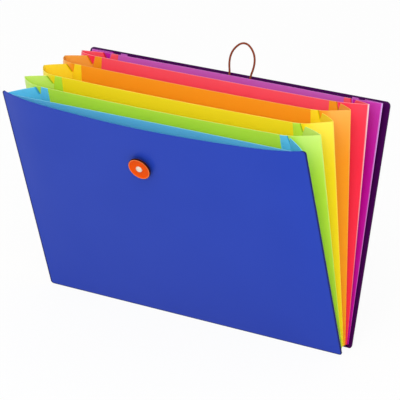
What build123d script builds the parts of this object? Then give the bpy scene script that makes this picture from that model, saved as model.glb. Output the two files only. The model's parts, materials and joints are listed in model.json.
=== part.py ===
from build123d import *
import os
from dataclasses import dataclass
from math import cos, radians, sin, tan

# Accordion file folder: six coloured pocket sheets fanned out between two stiff covers.
# Frame: +X along the width, +Y towards the back, +Z up, in millimetres and degrees.
# The origin is on the back cover's standing edge, under the middle line of the sheets.

# Covers
FRONT_WIDTH = 330.0
FRONT_HEIGHT = 236.2
FRONT_THICKNESS = 0.9
FRONT_CORNER_RADIUS = 3.0
FRONT_BOW = 15.5
FRONT_TOP_NARROWING = 1.6
FRONT_SEAM_GAP = 0.1
BACK_OVERHANG = 2.5
BACK_TOP_DROP = 2.1
BACK_X = -2.2
BACK_THICKNESS = 1.2
BACK_CORNER_RADIUS = 4.5
BACK_LEAN = 16.4

# Pocket sheets, named from the front to the back, with the angle that each pocket stands open
POCKET_ANGLES = {"cyan": 4.3, "green": 5.1, "yellow": 7.5, "orange": 8.1, "red": 6.4, "magenta": 3.5}
SHEET_THICKNESS = 0.35
SHEET_SIDE_INSET = 2.5
SHEET_TOP_DROP = 3.7
HEM_HEIGHT = 3.0
POCKET_PITCH = 3.2
FRONT_SHEET_TRIM = 2.0

# Gussets: the strip outside each crease and the leaf that folds back inside it
GUSSET_TOP_WIDTH = 28.0
GUSSET_FOOT_WIDTH = 1.5
FRONT_GUSSET_TOP_WIDTH = 32.6
GUSSET_FOOT_HEIGHT = 0.6
CREASE_GAP = 0.3
FOLD_GAP = 0.3
WELD_LINE_GAP = 0.3
FRONT_WELD_LINE_GAP = 0.6
TAB_TOP_WIDTH = 9.0
NOTCH_DEPTH = 9.0
NOTCH_GUSSET_WIDTH = 6.0
FRONT_NOTCH_GUSSET_WIDTH = 3.5
NOTCH_TAB_WIDTH = 1.5

# Pocket floors
FLOOR_SIDE_INSET = 6.0
FLANGE_HEIGHT = 8.0
FLANGE_TAB_GAP = 1.0

# Button and rivet
BUTTON_X = -8.5
BUTTON_TOP_DROP = 44.5
BUTTON_DIAMETER = 23.0
BUTTON_THICKNESS = 1.8
BUTTON_RIM_WIDTH = 1.6
BUTTON_RIM_RISE = 0.6
HUB_DIAMETER = 9.0
HUB_HEIGHT = 2.6
HUB_COVER_GAP = 0.15
RIVET_DIAMETER = 4.0
RIVET_CLEARANCE = 0.1
RIVET_HEAD_DIAMETER = 6.6
RIVET_HEAD_HEIGHT = 1.6
RIVET_CROWN_DIAMETER = 2.0
RIVET_HEAD_GAP = 0.15
CAP_DIAMETER = 9.0
CAP_THICKNESS = 1.4
CAP_SEAT_GAP = 0.2
CAP_POST_GAP = 0.05

# Elastic cord: its route is given from the loop's middle line and the back cover's top edge
CORD_DIAMETER = 2.0
CORD_X = 4.0
CORD_FACE_GAP = 0.2
LOOP_POINTS = ((12.0, 1.6), (13.4, 6.8), (13.9, 13.6), (12.4, 20.3), (8.6, 25.8), (3.2, 29.9))
LEG_POINTS = ((11.5, -3.2), (11.3, -9.4))
LEG_BEND_RADIUS = 2.0
BALL_GAP = 0.15
RUN_SHARE = 0.45
HOLE_DIAMETER = 3.4
FERRULE_DIAMETER = 4.8
FERRULE_LENGTH = 3.6
FERRULE_BORE_GAP = 0.1
FERRULE_SEAT_GAP = 0.05

# Working values
OVERRUN = 30.0
RIGHT_ANGLE = 90.0
BISECTIONS = 60

BACK_WIDTH = FRONT_WIDTH + 2 * BACK_OVERHANG
BACK_HEIGHT = FRONT_HEIGHT - BACK_TOP_DROP
SHEET_HALF_WIDTH = FRONT_WIDTH / 2 - SHEET_SIDE_INSET
SHEET_HEIGHT = FRONT_HEIGHT - HEM_HEIGHT - SHEET_TOP_DROP
SHEET_BACK_LEVEL = -SHEET_THICKNESS / 2
GUSSET_BACK_LEVEL = SHEET_BACK_LEVEL - FOLD_GAP - SHEET_THICKNESS


@dataclass
class Wall:
    """One upright sheet, standing on the foot line of its pocket.

    The frame's X runs across the sheet, its Y up the slant and its Z out of the front face.
    """

    frame: Plane
    lean: float
    thickness: float

    def at(self, across, up, out):
        """Return the point at these distances in the sheet's own frame."""
        return self.frame.from_local_coords(Vector(across, up, out))


@dataclass
class Sheet(Wall):
    """A pocket sheet with its folds; the axes are those of its right-hand side."""

    half_width: float
    gusset_width: float
    notch_width: float
    fold_axis: Axis = None
    crease_axis: Axis = None
    strip_angle: float = 0.0
    gusset_angle: float = 0.0


def frame_at(foot, lean):
    """Return the plane of a sheet that stands at a foot point and leans back by an angle."""
    tilt = radians(lean)
    return Plane(origin=foot, x_dir=(1, 0, 0), z_dir=(0, -cos(tilt), sin(tilt)))


def turned(point, axis, angle):
    """Return a point turned about an axis."""
    return axis.position + (point - axis.position).rotate(axis, angle)


def width_at(top_width, height):
    """Return a gusset's width at a height above the pocket's foot."""
    return GUSSET_FOOT_WIDTH + (top_width - GUSSET_FOOT_WIDTH) * height / SHEET_HEIGHT


def fold_x(height):
    """Return how far out the crease between panel and outer strip lies at a height."""
    return SHEET_HALF_WIDTH - width_at(GUSSET_TOP_WIDTH, height)


def plate(wall, outline, level, thickness):
    """Return a flat plate with this outline, from a level in front of the sheet's middle."""
    sketch = wall.frame.offset(level) * Polygon(*outline)
    return extrude(sketch, amount=thickness, dir=wall.frame.z_dir)


def mirrored(shape):
    """Return the left-hand copy of a right-hand piece."""
    return mirror(shape, about=Plane.YZ)


def above_floor(shape):
    """Return a leaning sheet with its lower edge cut level on the floor."""
    return split(shape, bisect_by=Plane.XY, keep=Keep.TOP)


def gusset_corner(sheet, strip_angle, gusset_angle):
    """Return where the gusset's free edge stands, at its notch, for these fold angles."""
    height = SHEET_HEIGHT - NOTCH_DEPTH
    across = sheet.half_width - width_at(sheet.gusset_width, height)
    corner = sheet.at(across, height, GUSSET_BACK_LEVEL)
    opened = turned(corner, sheet.crease_axis, -gusset_angle)
    return turned(opened, sheet.fold_axis, strip_angle)


def solve_folds(sheet, parent, has_strip):
    """Set the fold angles at which the gusset just reaches the sheet behind."""
    least_gap = WELD_LINE_GAP if has_strip else FRONT_WELD_LINE_GAP
    low, high = 0.0, RIGHT_ANGLE
    for _ in range(BISECTIONS):
        angle = (low + high) / 2
        strip, gusset = (angle, 2 * angle) if has_strip else (0.0, angle)
        corner = gusset_corner(sheet, strip, gusset)
        gap = parent.frame.to_local_coords(corner).Z - parent.thickness / 2
        if gap > least_gap:
            low = angle
            sheet.strip_angle, sheet.gusset_angle = strip, gusset
        else:
            high = angle


def stand_sheet(parent, colour):
    """Return the pocket sheet that stands in front of a wall, with its folds worked out."""
    has_strip = colour != FRONT_COLOUR
    lean = parent.lean - POCKET_ANGLES[colour]
    foot = parent.at(0, 0, parent.thickness / 2 + POCKET_PITCH - SHEET_THICKNESS / 2)
    half_width = SHEET_HALF_WIDTH if has_strip else SHEET_HALF_WIDTH - FRONT_SHEET_TRIM
    gusset_width = GUSSET_TOP_WIDTH if has_strip else FRONT_GUSSET_TOP_WIDTH
    notch_width = NOTCH_GUSSET_WIDTH if has_strip else FRONT_NOTCH_GUSSET_WIDTH
    sheet = Sheet(frame_at(foot, lean), lean, SHEET_THICKNESS, half_width, gusset_width, notch_width)
    fold_foot = sheet.at(fold_x(0), 0, 0)
    sheet.fold_axis = Axis(fold_foot, sheet.at(fold_x(SHEET_HEIGHT), SHEET_HEIGHT, 0) - fold_foot)
    crease_level = SHEET_BACK_LEVEL - FOLD_GAP / 2
    sheet.crease_axis = Axis(sheet.at(half_width, 0, crease_level), sheet.frame.y_dir)
    solve_folds(sheet, parent, has_strip)
    return sheet


def panel(sheet, has_strip):
    """Return the flat middle of a pocket sheet, between its two creases."""
    foot, top = CREASE_GAP, SHEET_HEIGHT
    if has_strip:
        foot_x = fold_x(foot) - CREASE_GAP / 2
        top_x = fold_x(top) - CREASE_GAP / 2
    else:
        foot_x = top_x = sheet.half_width
    outline = ((-foot_x, foot), (foot_x, foot), (top_x, top), (-top_x, top))
    return plate(sheet, outline, SHEET_BACK_LEVEL, SHEET_THICKNESS)


def outer_strip(sheet):
    """Return the right-hand strip outside a panel's crease, bent back as it stands."""
    foot, top = GUSSET_FOOT_HEIGHT, SHEET_HEIGHT
    outline = (
        (fold_x(foot) + CREASE_GAP / 2, foot),
        (sheet.half_width, foot),
        (sheet.half_width, top),
        (fold_x(top) + CREASE_GAP / 2, top),
    )
    flat = plate(sheet, outline, SHEET_BACK_LEVEL, SHEET_THICKNESS)
    return flat.rotate(sheet.fold_axis, sheet.strip_angle)


def gusset(sheet):
    """Return the right-hand leaf that folds back inside the outer crease, as it stands."""
    foot, top, notch = GUSSET_FOOT_HEIGHT, SHEET_HEIGHT, SHEET_HEIGHT - NOTCH_DEPTH
    outer = sheet.half_width
    outline = (
        (outer - width_at(sheet.gusset_width, foot), foot),
        (outer, foot),
        (outer, top),
        (outer - width_at(sheet.gusset_width, top) + sheet.notch_width, top),
        (outer - width_at(sheet.gusset_width, notch), notch),
    )
    flat = plate(sheet, outline, GUSSET_BACK_LEVEL, SHEET_THICKNESS)
    opened = flat.rotate(sheet.crease_axis, -sheet.gusset_angle)
    return opened.rotate(sheet.fold_axis, sheet.strip_angle)


def weld_tab(parent):
    """Return the right-hand end of a gusset, welded flat on the front of the next sheet."""
    foot, top, notch = FLANGE_HEIGHT + FLANGE_TAB_GAP, SHEET_HEIGHT, SHEET_HEIGHT - NOTCH_DEPTH
    inner = fold_x(top) - TAB_TOP_WIDTH
    outline = (
        (inner, foot),
        (fold_x(foot) - CREASE_GAP, foot),
        (fold_x(notch) - CREASE_GAP, notch),
        (fold_x(top) - NOTCH_TAB_WIDTH, top),
        (inner, top),
    )
    return plate(parent, outline, parent.thickness / 2, SHEET_THICKNESS)


def pocket_floor(parent):
    """Return the strip under a pocket with the flange that welds it to the sheet behind."""
    half = SHEET_HALF_WIDTH - FLOOR_SIDE_INSET
    under, over = -SHEET_THICKNESS / 2, SHEET_THICKNESS / 2
    face = parent.thickness / 2
    strip_outline = ((-half, under), (half, under), (half, over), (-half, over))
    flange_outline = ((-half, over), (half, over), (half, FLANGE_HEIGHT), (-half, FLANGE_HEIGHT))
    strip = plate(parent, strip_outline, face, POCKET_PITCH - SHEET_THICKNESS / 2)
    return strip + plate(parent, flange_outline, face, SHEET_THICKNESS)


@dataclass
class FrontCover:
    """The bowed front cover, in the frame of the sheet that it is welded to."""

    sheet: Sheet

    @property
    def floor(self):
        """Return the floor's place on the slant, below the pocket's foot."""
        return -self.sheet.frame.origin.Z / cos(radians(self.sheet.lean))

    @property
    def foot(self):
        """Return where the sheet starts on the slant, before its edge is cut level."""
        return self.floor - FRONT_THICKNESS

    @property
    def top(self):
        """Return the top edge's place on the slant."""
        return self.floor + FRONT_HEIGHT

    @property
    def back_level(self):
        """Return the level of the cover's back face at its seam."""
        return self.sheet.thickness / 2 + FRONT_SEAM_GAP

    @property
    def steepness(self):
        """Return how fast the cover bows forward up its middle line."""
        return FRONT_BOW / (self.top - self.foot)

    def bow(self, across, up):
        """Return how far the cover bows forward of its seam at a point: none at the foot."""
        return self.steepness * (up - self.foot) * (1 - (across / self.sheet.half_width) ** 2)

    def section(self, up):
        """Return the cover's cross-section at a height, between two parabolas."""
        half = FRONT_WIDTH / 2 + OVERRUN
        end = self.bow(half, up)
        pull = 2 * self.bow(0, up) - end
        low, high = self.back_level, self.back_level + FRONT_THICKNESS
        plane = Plane(self.sheet.at(0, up, 0), x_dir=(1, 0, 0), z_dir=-self.sheet.frame.y_dir)
        faces = [Bezier((-half, face + end), (0, face + pull), (half, face + end)) for face in (low, high)]
        sides = [Line((x, low + end), (x, high + end)) for x in (-half, half)]
        return plane * make_face(faces + sides)

    def outline(self):
        """Return the cover's rounded outline as a block through the sheet."""
        foot_half, top_half = FRONT_WIDTH / 2, FRONT_WIDTH / 2 - FRONT_TOP_NARROWING
        points = ((-foot_half, self.foot), (foot_half, self.foot), (top_half, self.top), (-top_half, self.top))
        rounded = fillet(Polygon(*points).vertices(), radius=FRONT_CORNER_RADIUS)
        reach = FRONT_BOW + OVERRUN
        return extrude(self.sheet.frame * rounded, amount=reach, dir=self.sheet.frame.z_dir, both=True)

    def button_plane(self):
        """Return the plane on the cover's front face where the button stands."""
        up = self.top - BUTTON_TOP_DROP
        half = self.sheet.half_width
        slope_x = -2 * self.steepness * (up - self.foot) * BUTTON_X / half ** 2
        slope_up = self.steepness * (1 - (BUTTON_X / half) ** 2)
        level = self.back_level + FRONT_THICKNESS + self.bow(BUTTON_X, up)
        origin = self.sheet.at(BUTTON_X, up, level)
        frame = self.sheet.frame
        normal = frame.z_dir - frame.x_dir * slope_x - frame.y_dir * slope_up
        return Plane(origin, x_dir=(1, 0, 0), z_dir=normal)

    def solid(self):
        """Return the cover with its rivet hole."""
        sheet = loft([self.section(self.foot), self.section(self.top)], ruled=True)
        hole = self.button_plane() * Cylinder(RIVET_DIAMETER / 2 + RIVET_CLEARANCE, OVERRUN)
        return above_floor(sheet & self.outline()) - hole


def turning(points):
    """Return the solid that a half-outline, given as radius and height, turns about Z."""
    return revolve(Plane.XZ * Polygon(*points), Axis.Z)


def closure_button(plane):
    """Return the button: a rimmed disc on a hub, bored for its rivet."""
    bore = RIVET_DIAMETER / 2 + RIVET_CLEARANCE
    edge, hub = BUTTON_DIAMETER / 2, HUB_DIAMETER / 2
    foot, seat = HUB_COVER_GAP, HUB_COVER_GAP + HUB_HEIGHT
    face = seat + BUTTON_THICKNESS
    rim = face + BUTTON_RIM_RISE
    outline = (
        (bore, foot), (hub, foot), (hub, seat), (edge - BUTTON_RIM_RISE, seat), (edge, seat + BUTTON_RIM_RISE),
        (edge, face), (edge - BUTTON_RIM_RISE, rim), (edge - BUTTON_RIM_WIDTH, rim),
        (edge - BUTTON_RIM_WIDTH - BUTTON_RIM_RISE, face), (bore, face),
    )
    return plane * turning(outline)


def button_rivet(plane):
    """Return the rivet: a domed head in front of the button and a post through the cover."""
    post, head = RIVET_DIAMETER / 2, RIVET_HEAD_DIAMETER / 2
    foot = -FRONT_THICKNESS - CAP_SEAT_GAP - CAP_THICKNESS
    seat = HUB_COVER_GAP + HUB_HEIGHT + BUTTON_THICKNESS + RIVET_HEAD_GAP
    crown = seat + RIVET_HEAD_HEIGHT
    flat = RIVET_CROWN_DIAMETER / 2
    dome = sin(radians(RIGHT_ANGLE / 2))
    shoulder = (flat + (head - flat) * dome, seat + RIVET_HEAD_HEIGHT * dome)
    edges = [
        Polyline((flat, crown), (0, crown), (0, foot), (post, foot), (post, seat), (head, seat)),
        ThreePointArc((head, seat), shoulder, (flat, crown)),
    ]
    return plane * revolve(Plane.XZ * make_face(edges), Axis.Z)


def rivet_cap(plane):
    """Return the washer that holds the rivet's post inside the cover."""
    level = -FRONT_THICKNESS - CAP_SEAT_GAP - CAP_THICKNESS
    hole = RIVET_DIAMETER / 2 + CAP_POST_GAP
    ring = Cylinder(CAP_DIAMETER / 2, CAP_THICKNESS, align=(Align.CENTER, Align.CENTER, Align.MIN))
    ring -= Cylinder(hole, CAP_THICKNESS, align=(Align.CENTER, Align.CENTER, Align.MIN))
    return plane * Pos(0, 0, level) * ring


@dataclass
class Elastic:
    """The elastic cord on the back cover, in the cover's own frame."""

    back: Wall

    @property
    def front_level(self):
        """Return how far in front of the cover's middle the cord runs."""
        return BACK_THICKNESS / 2 + CORD_FACE_GAP + CORD_DIAMETER / 2

    def place(self, across, above_edge, level):
        """Return a point given from the loop's middle line and the cover's top edge."""
        return self.back.at(CORD_X + across, BACK_HEIGHT - HEM_HEIGHT + above_edge, level)

    def tube(self, points, radii):
        """Return the cord along straight runs joined by tangent arcs."""
        path = FilletPolyline(*points, radius=radii)
        section = Plane(points[0], z_dir=path % 0) * Circle(CORD_DIAMETER / 2)
        return sweep(section, path=path)

    def run_radii(self, points):
        """Return the largest arc that the runs beside each inner point leave room for."""
        radii = []
        for before, corner, after in zip(points, points[1:], points[2:]):
            run_in, run_out = corner - before, after - corner
            half_turn = radians(run_in.get_angle(run_out)) / 2
            radii.append(RUN_SHARE * min(run_in.length, run_out.length) / tan(half_turn))
        return radii

    def loop(self):
        """Return the upper loop, with a ball at each end where it bends at the cover's edge."""
        right = [self.place(x, above, self.front_level) for x, above in LOOP_POINTS]
        left = [self.place(-x, above, self.front_level) for x, above in reversed(LOOP_POINTS)]
        points = right + left
        radii = self.run_radii(points)
        print("loop radii, mm:", [round(radius, 1) for radius in radii])
        balls = [Pos(*end) * Sphere(CORD_DIAMETER / 2) for end in (points[0], points[-1])]
        return self.tube(points, radii) + balls

    def leg(self, side):
        """Return one cord end, from below the ball down and through its hole."""
        (ball_x, ball_up), (next_x, next_up) = LOOP_POINTS[:2]
        ball = self.place(side * ball_x, ball_up, self.front_level)
        climb = self.place(side * next_x, next_up, self.front_level) - ball
        start = ball - climb.normalized() * (CORD_DIAMETER / 2 + BALL_GAP)
        bends = [self.place(side * x, above, self.front_level) for x, above in LEG_POINTS]
        hole_x, hole_up = LEG_POINTS[-1]
        end = self.place(side * hole_x, hole_up, -BACK_THICKNESS / 2 - FERRULE_SEAT_GAP - FERRULE_LENGTH)
        points = [start, *bends, end]
        radii = [self.run_radii(points)[0], LEG_BEND_RADIUS]
        print("leg radii, mm:", [round(radius, 1) for radius in radii])
        return self.tube(points, radii)

    def hole_plane(self, side):
        """Return the plane of one cord hole, on the cover's rear face, looking out behind."""
        hole_x, hole_up = LEG_POINTS[-1]
        origin = self.place(side * hole_x, hole_up, -BACK_THICKNESS / 2)
        return Plane(origin, x_dir=(1, 0, 0), z_dir=-self.back.frame.z_dir)

    def ferrule(self, side):
        """Return the metal stop on one cord end."""
        align = (Align.CENTER, Align.CENTER, Align.MIN)
        barrel = Cylinder(FERRULE_DIAMETER / 2, FERRULE_LENGTH, align=align)
        barrel -= Cylinder(CORD_DIAMETER / 2 + FERRULE_BORE_GAP, FERRULE_LENGTH, align=align)
        return self.hole_plane(side) * Pos(0, 0, FERRULE_SEAT_GAP) * barrel


def back_cover(back, elastic):
    """Return the flat back cover with its two cord holes."""
    foot = -HEM_HEIGHT - BACK_THICKNESS
    top = BACK_HEIGHT - HEM_HEIGHT
    left, right = BACK_X - BACK_WIDTH / 2, BACK_X + BACK_WIDTH / 2
    sketch = Polygon((left, foot), (right, foot), (right, top), (left, top))
    rounded = fillet(sketch.vertices(), radius=BACK_CORNER_RADIUS)
    sheet = extrude(back.frame * rounded, amount=BACK_THICKNESS / 2, dir=back.frame.z_dir, both=True)
    for side in (-1, 1):
        sheet -= elastic.hole_plane(side) * Cylinder(HOLE_DIAMETER / 2, OVERRUN)
    return above_floor(sheet)


def back_wall():
    """Return the back cover's frame, standing at the origin and leaning back."""
    tilt = radians(BACK_LEAN)
    foot = Vector(0, HEM_HEIGHT * sin(tilt), HEM_HEIGHT * cos(tilt))
    return Wall(frame_at(foot, BACK_LEAN), BACK_LEAN, BACK_THICKNESS)


def stand_sheets(back):
    """Return every pocket sheet by colour, stood up one in front of the other."""
    sheets = {}
    parent = back
    for colour in reversed(POCKET_ANGLES):
        sheets[colour] = stand_sheet(parent, colour)
        parent = sheets[colour]
    return sheets


FRONT_COLOUR = next(iter(POCKET_ANGLES))
BACK = back_wall()
SHEETS = stand_sheets(BACK)
FRONT = FrontCover(SHEETS[FRONT_COLOUR])
ELASTIC = Elastic(BACK)


def both_sides(name, shape):
    """Return the right-hand piece and its mirrored left-hand copy under their names."""
    return {name.format("right"): shape, name.format("left"): mirrored(shape)}


def pocket_pieces(colour, parent):
    """Return every piece of one coloured sheet."""
    sheet = SHEETS[colour]
    has_strip = colour != FRONT_COLOUR
    pieces = {f"{colour}_panel": panel(sheet, has_strip), f"{colour}_pocket_floor": pocket_floor(parent)}
    if has_strip:
        pieces |= both_sides(colour + "_{}_outer_strip", outer_strip(sheet))
    pieces |= both_sides(colour + "_{}_gusset", gusset(sheet))
    pieces |= both_sides(colour + "_{}_weld_tab", weld_tab(parent))
    return pieces


def all_pieces():
    """Return every piece of the file under its name."""
    plane = FRONT.button_plane()
    pieces = {
        "front_cover": FRONT.solid(),
        "closure_button": closure_button(plane),
        "button_rivet": button_rivet(plane),
        "rivet_cap": rivet_cap(plane),
        "back_cover": back_cover(BACK, ELASTIC),
        "elastic_loop": ELASTIC.loop(),
        "elastic_legs": Compound([ELASTIC.leg(side).solid() for side in (-1, 1)]),
        "elastic_end_stops": Compound([ELASTIC.ferrule(side).solid() for side in (-1, 1)]),
    }
    parent = BACK
    for colour in reversed(POCKET_ANGLES):
        pieces |= pocket_pieces(colour, parent)
        parent = SHEETS[colour]
    return pieces


os.makedirs("parts", exist_ok=True)
for node, shape in all_pieces().items():
    export_step(shape, f"parts/{node}.step")
    print(node, round(shape.volume, 1))
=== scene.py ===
"""Dress the accordion file folder: covers, pocket sheets, folds, button and elastic cord."""

import json
import logging
import math
from abc import ABC, abstractmethod
from dataclasses import dataclass, field
from enum import Enum

import bmesh
import bpy
from mathutils import Matrix, Vector

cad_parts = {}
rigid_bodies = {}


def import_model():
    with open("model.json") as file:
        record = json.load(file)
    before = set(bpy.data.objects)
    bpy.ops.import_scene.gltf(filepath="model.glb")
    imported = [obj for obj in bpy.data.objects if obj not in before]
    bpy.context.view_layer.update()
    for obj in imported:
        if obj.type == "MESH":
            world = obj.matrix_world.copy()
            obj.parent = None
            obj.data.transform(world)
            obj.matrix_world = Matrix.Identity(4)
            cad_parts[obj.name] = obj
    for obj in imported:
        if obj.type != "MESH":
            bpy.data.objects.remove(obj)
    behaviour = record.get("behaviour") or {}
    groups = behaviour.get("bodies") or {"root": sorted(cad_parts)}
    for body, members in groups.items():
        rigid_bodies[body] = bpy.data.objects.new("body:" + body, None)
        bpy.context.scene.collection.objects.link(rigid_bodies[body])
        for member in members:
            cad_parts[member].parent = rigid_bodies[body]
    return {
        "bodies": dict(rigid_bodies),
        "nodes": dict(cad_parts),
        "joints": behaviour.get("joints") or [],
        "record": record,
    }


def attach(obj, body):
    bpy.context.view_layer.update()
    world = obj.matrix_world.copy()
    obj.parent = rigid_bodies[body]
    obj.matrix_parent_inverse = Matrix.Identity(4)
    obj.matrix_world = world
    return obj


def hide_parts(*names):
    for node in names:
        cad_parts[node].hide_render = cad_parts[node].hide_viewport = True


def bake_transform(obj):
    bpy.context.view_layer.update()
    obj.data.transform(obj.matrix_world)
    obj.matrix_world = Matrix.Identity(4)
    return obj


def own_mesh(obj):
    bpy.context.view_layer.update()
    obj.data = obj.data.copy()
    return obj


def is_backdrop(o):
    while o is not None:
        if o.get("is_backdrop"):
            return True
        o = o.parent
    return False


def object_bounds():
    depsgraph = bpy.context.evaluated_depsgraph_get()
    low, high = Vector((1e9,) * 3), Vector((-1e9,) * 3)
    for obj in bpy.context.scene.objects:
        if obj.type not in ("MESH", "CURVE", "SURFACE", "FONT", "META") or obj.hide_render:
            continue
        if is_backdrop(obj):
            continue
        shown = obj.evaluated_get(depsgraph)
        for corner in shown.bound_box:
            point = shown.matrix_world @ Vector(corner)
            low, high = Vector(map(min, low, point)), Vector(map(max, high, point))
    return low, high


LOG = logging.getLogger("accordion_file")
MM = 0.001
MERGE_DISTANCE = MM / 1000
PALE = "pale"
ALONG = "along"
AROUND = "around"
WHITE = (1.0, 1.0, 1.0, 1.0)
POLYPROPYLENE_IOR = 1.49
ROUND_STEPS = 3
SHARP_DEG = 35.0
SHEET_EDGE_DEG = 50.0
TURNED_EDGE_DEG = 24.0

Colour = tuple[float, float, float, float]
Grid = list[list[Vector]]
Inputs = dict[str, object]
Shades = list[list[float]]
Mesh = bpy.types.Mesh
Piece = bpy.types.Object
Socket = bpy.types.NodeSocket
Tree = bpy.types.NodeTree


def linear(hex_colour: str) -> Colour:
    """Turn an sRGB hex colour into linear red, green and blue with full alpha.

    Args:
        hex_colour: Six hex digits after a hash mark.

    Returns:
        The linear colour.
    """
    parts = [int(hex_colour[place:place + 2], 16) / 255 for place in (1, 3, 5)]
    # The sRGB curve is straight near black and a power above.
    red, green, blue = (
        part / 12.92 if part <= 0.04045 else ((part + 0.055) / 1.055) ** 2.4 for part in parts
    )
    return red, green, blue, 1.0


def add_node(tree: Tree, kind: str, values: dict | None = None, **settings: object) -> bpy.types.Node:
    """Add a node, set its properties, and set or link its inputs.

    Args:
        tree: The node tree that the node joins.
        kind: The node's type name.
        values: Inputs by name or number, each a plain value or the output socket that feeds it.
        settings: The node's own properties.

    Returns:
        The new node.
    """
    node = tree.nodes.new(kind)
    for key, value in settings.items():
        setattr(node, key, value)
    for key, value in (values or {}).items():
        if isinstance(value, Socket):
            tree.links.new(value, node.inputs[key])
        else:
            node.inputs[key].default_value = value
    return node


def empty_material(name: str) -> tuple[bpy.types.Material, Tree]:
    """Make a material with no nodes in it.

    Args:
        name: The material's name.

    Returns:
        The material and its node tree.
    """
    material = bpy.data.materials.new(name)
    material.use_nodes = True
    material.node_tree.nodes.clear()
    return material, material.node_tree


class Side(Enum):
    """The two ends of the file, by the sign of X."""

    LEFT = -1
    RIGHT = 1

    @property
    def word(self) -> str:
        """The side's name as the frame's bodies use it."""
        return self.name.lower()


@dataclass(frozen=True)
class Finish(ABC):
    """A surface of one real material: a name that says what it is, and its main colour."""

    name: str
    colour: str

    @abstractmethod
    def surface(self, tree: Tree) -> Inputs:
        """Return the shader's inputs, each a plain value or the socket of a pattern in the tree."""

    def material(self) -> bpy.types.Material:
        """Return the finish as a material."""
        material, tree = empty_material(self.name)
        shader = add_node(tree, "ShaderNodeBsdfPrincipled", self.surface(tree))
        add_node(tree, "ShaderNodeOutputMaterial", {"Surface": shader.outputs["BSDF"]})
        return material


@dataclass(frozen=True)
class Grain:
    """A fine bumpy skin: the size and depth of its grain, and how it is drawn."""

    size_mm: float
    depth_mm: float
    strength: float
    detail: float


@dataclass(frozen=True)
class PlasticFinish(Finish):
    """Coloured polypropylene: soft flow marks in two tones, a fine skin, and painted light and shade at its
    edges.
    """

    deep: str
    pale: str

    def plastic(self, tree: Tree, flow_mm: float, grain: Grain, dark: Colour) -> tuple[Socket, Inputs]:
        """Lay out the colour and the skin.

        Args:
            tree: The material's node tree.
            flow_mm: The size of the flow marks.
            grain: The skin.
            dark: The colour of painted shade, where a piece's attribute is -1. Where it is 1, the piece
                takes the pale tone.

        Returns:
            The socket of the flow marks, and the shader's inputs.
        """
        place = add_node(tree, "ShaderNodeTexCoord").outputs["Object"]
        marks = {"Vector": place, "Scale": 1 / (flow_mm * MM), "Detail": 2.0}
        flow = add_node(tree, "ShaderNodeTexNoise", marks).outputs["Fac"]
        # Painted light and shade: the pale tone mixes in where the attribute is above zero, the dark tone
        # where it is below.
        edge = add_node(tree, "ShaderNodeAttribute", attribute_name=PALE).outputs["Fac"]
        below = add_node(tree, "ShaderNodeMath", {0: edge, 1: -1.0}, operation="MULTIPLY").outputs[0]
        base = linear(self.colour)
        for share, tone in ((flow, linear(self.deep)), (edge, linear(self.pale)), (below, dark)):
            base = add_node(tree, "ShaderNodeMix", {0: share, 6: base, 7: tone}, data_type="RGBA").outputs[2]
        specks = {"Vector": place, "Scale": 1 / (grain.size_mm * MM), "Detail": grain.detail}
        skin = add_node(tree, "ShaderNodeTexNoise", specks).outputs["Fac"]
        relief = {"Height": skin, "Strength": grain.strength, "Distance": grain.depth_mm * MM}
        bump = add_node(tree, "ShaderNodeBump", relief)
        return flow, {"Base Color": base, "Normal": bump.outputs["Normal"], "IOR": POLYPROPYLENE_IOR}


@dataclass(frozen=True)
class SheetFinish(PlasticFinish):
    """Extruded polypropylene sheet: smooth, waxy and a little translucent, with pale cut edges.

    The sheet is cast on a polished roll, so it mirrors lamps softly. Its cut edges, creases and
    upper parts are paler by painted light, which stands in for light that enters a face and comes out
    there. The cut edges of the notches get painted shadow.
    """

    translucency: float = 0.4
    roughness: float = 0.34
    specular: float = 0.16
    roughness_spread: float = 0.05
    flow_mm: float = 70.0
    # The grain of the roll is about 0.1 mm, drawn coarser here so that it shows.
    grain: Grain = Grain(0.9, 0.02, 0.35, 3.0)
    scatter_mm: float = 0.8
    # Painted shadow along the cut edges of the notches takes this share of the deep tone.
    notch_shadow_share: float = 0.2

    def surface(self, tree: Tree) -> Inputs:
        """Lay out the look. The roughness follows the flow marks.

        Args:
            tree: The material's node tree.

        Returns:
            The shader's inputs.
        """
        red, green, blue, _ = (self.notch_shadow_share * part for part in linear(self.deep))
        flow, inputs = self.plastic(tree, self.flow_mm, self.grain, (red, green, blue, 1.0))
        rough = add_node(tree, "ShaderNodeMapRange", {
            "Value": flow, "To Min": self.roughness - self.roughness_spread,
            "To Max": self.roughness + self.roughness_spread,
        })
        return inputs | {
            "Roughness": rough.outputs["Result"], "Specular IOR Level": self.specular,
            "Subsurface Weight": self.translucency, "Subsurface Radius": (1.0, 1.0, 1.0),
            "Subsurface Scale": self.scatter_mm * MM,
        }


@dataclass(frozen=True)
class MouldedFinish(PlasticFinish):
    """Injection-moulded polypropylene: satin, with a faint skin from the spark-eroded mould.

    A raised rim gets a painted highlight, so it looks paler than the sunken face, and the side
    below it gets painted shade.
    """

    dark: str
    roughness: float
    specular: float
    flow_mm: float = 9.0
    grain: Grain = Grain(0.5, 0.03, 0.3, 2.0)

    def surface(self, tree: Tree) -> Inputs:
        """Return the shader's inputs."""
        _, inputs = self.plastic(tree, self.flow_mm, self.grain, linear(self.dark))
        return inputs | {"Roughness": self.roughness, "Specular IOR Level": self.specular}


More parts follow.
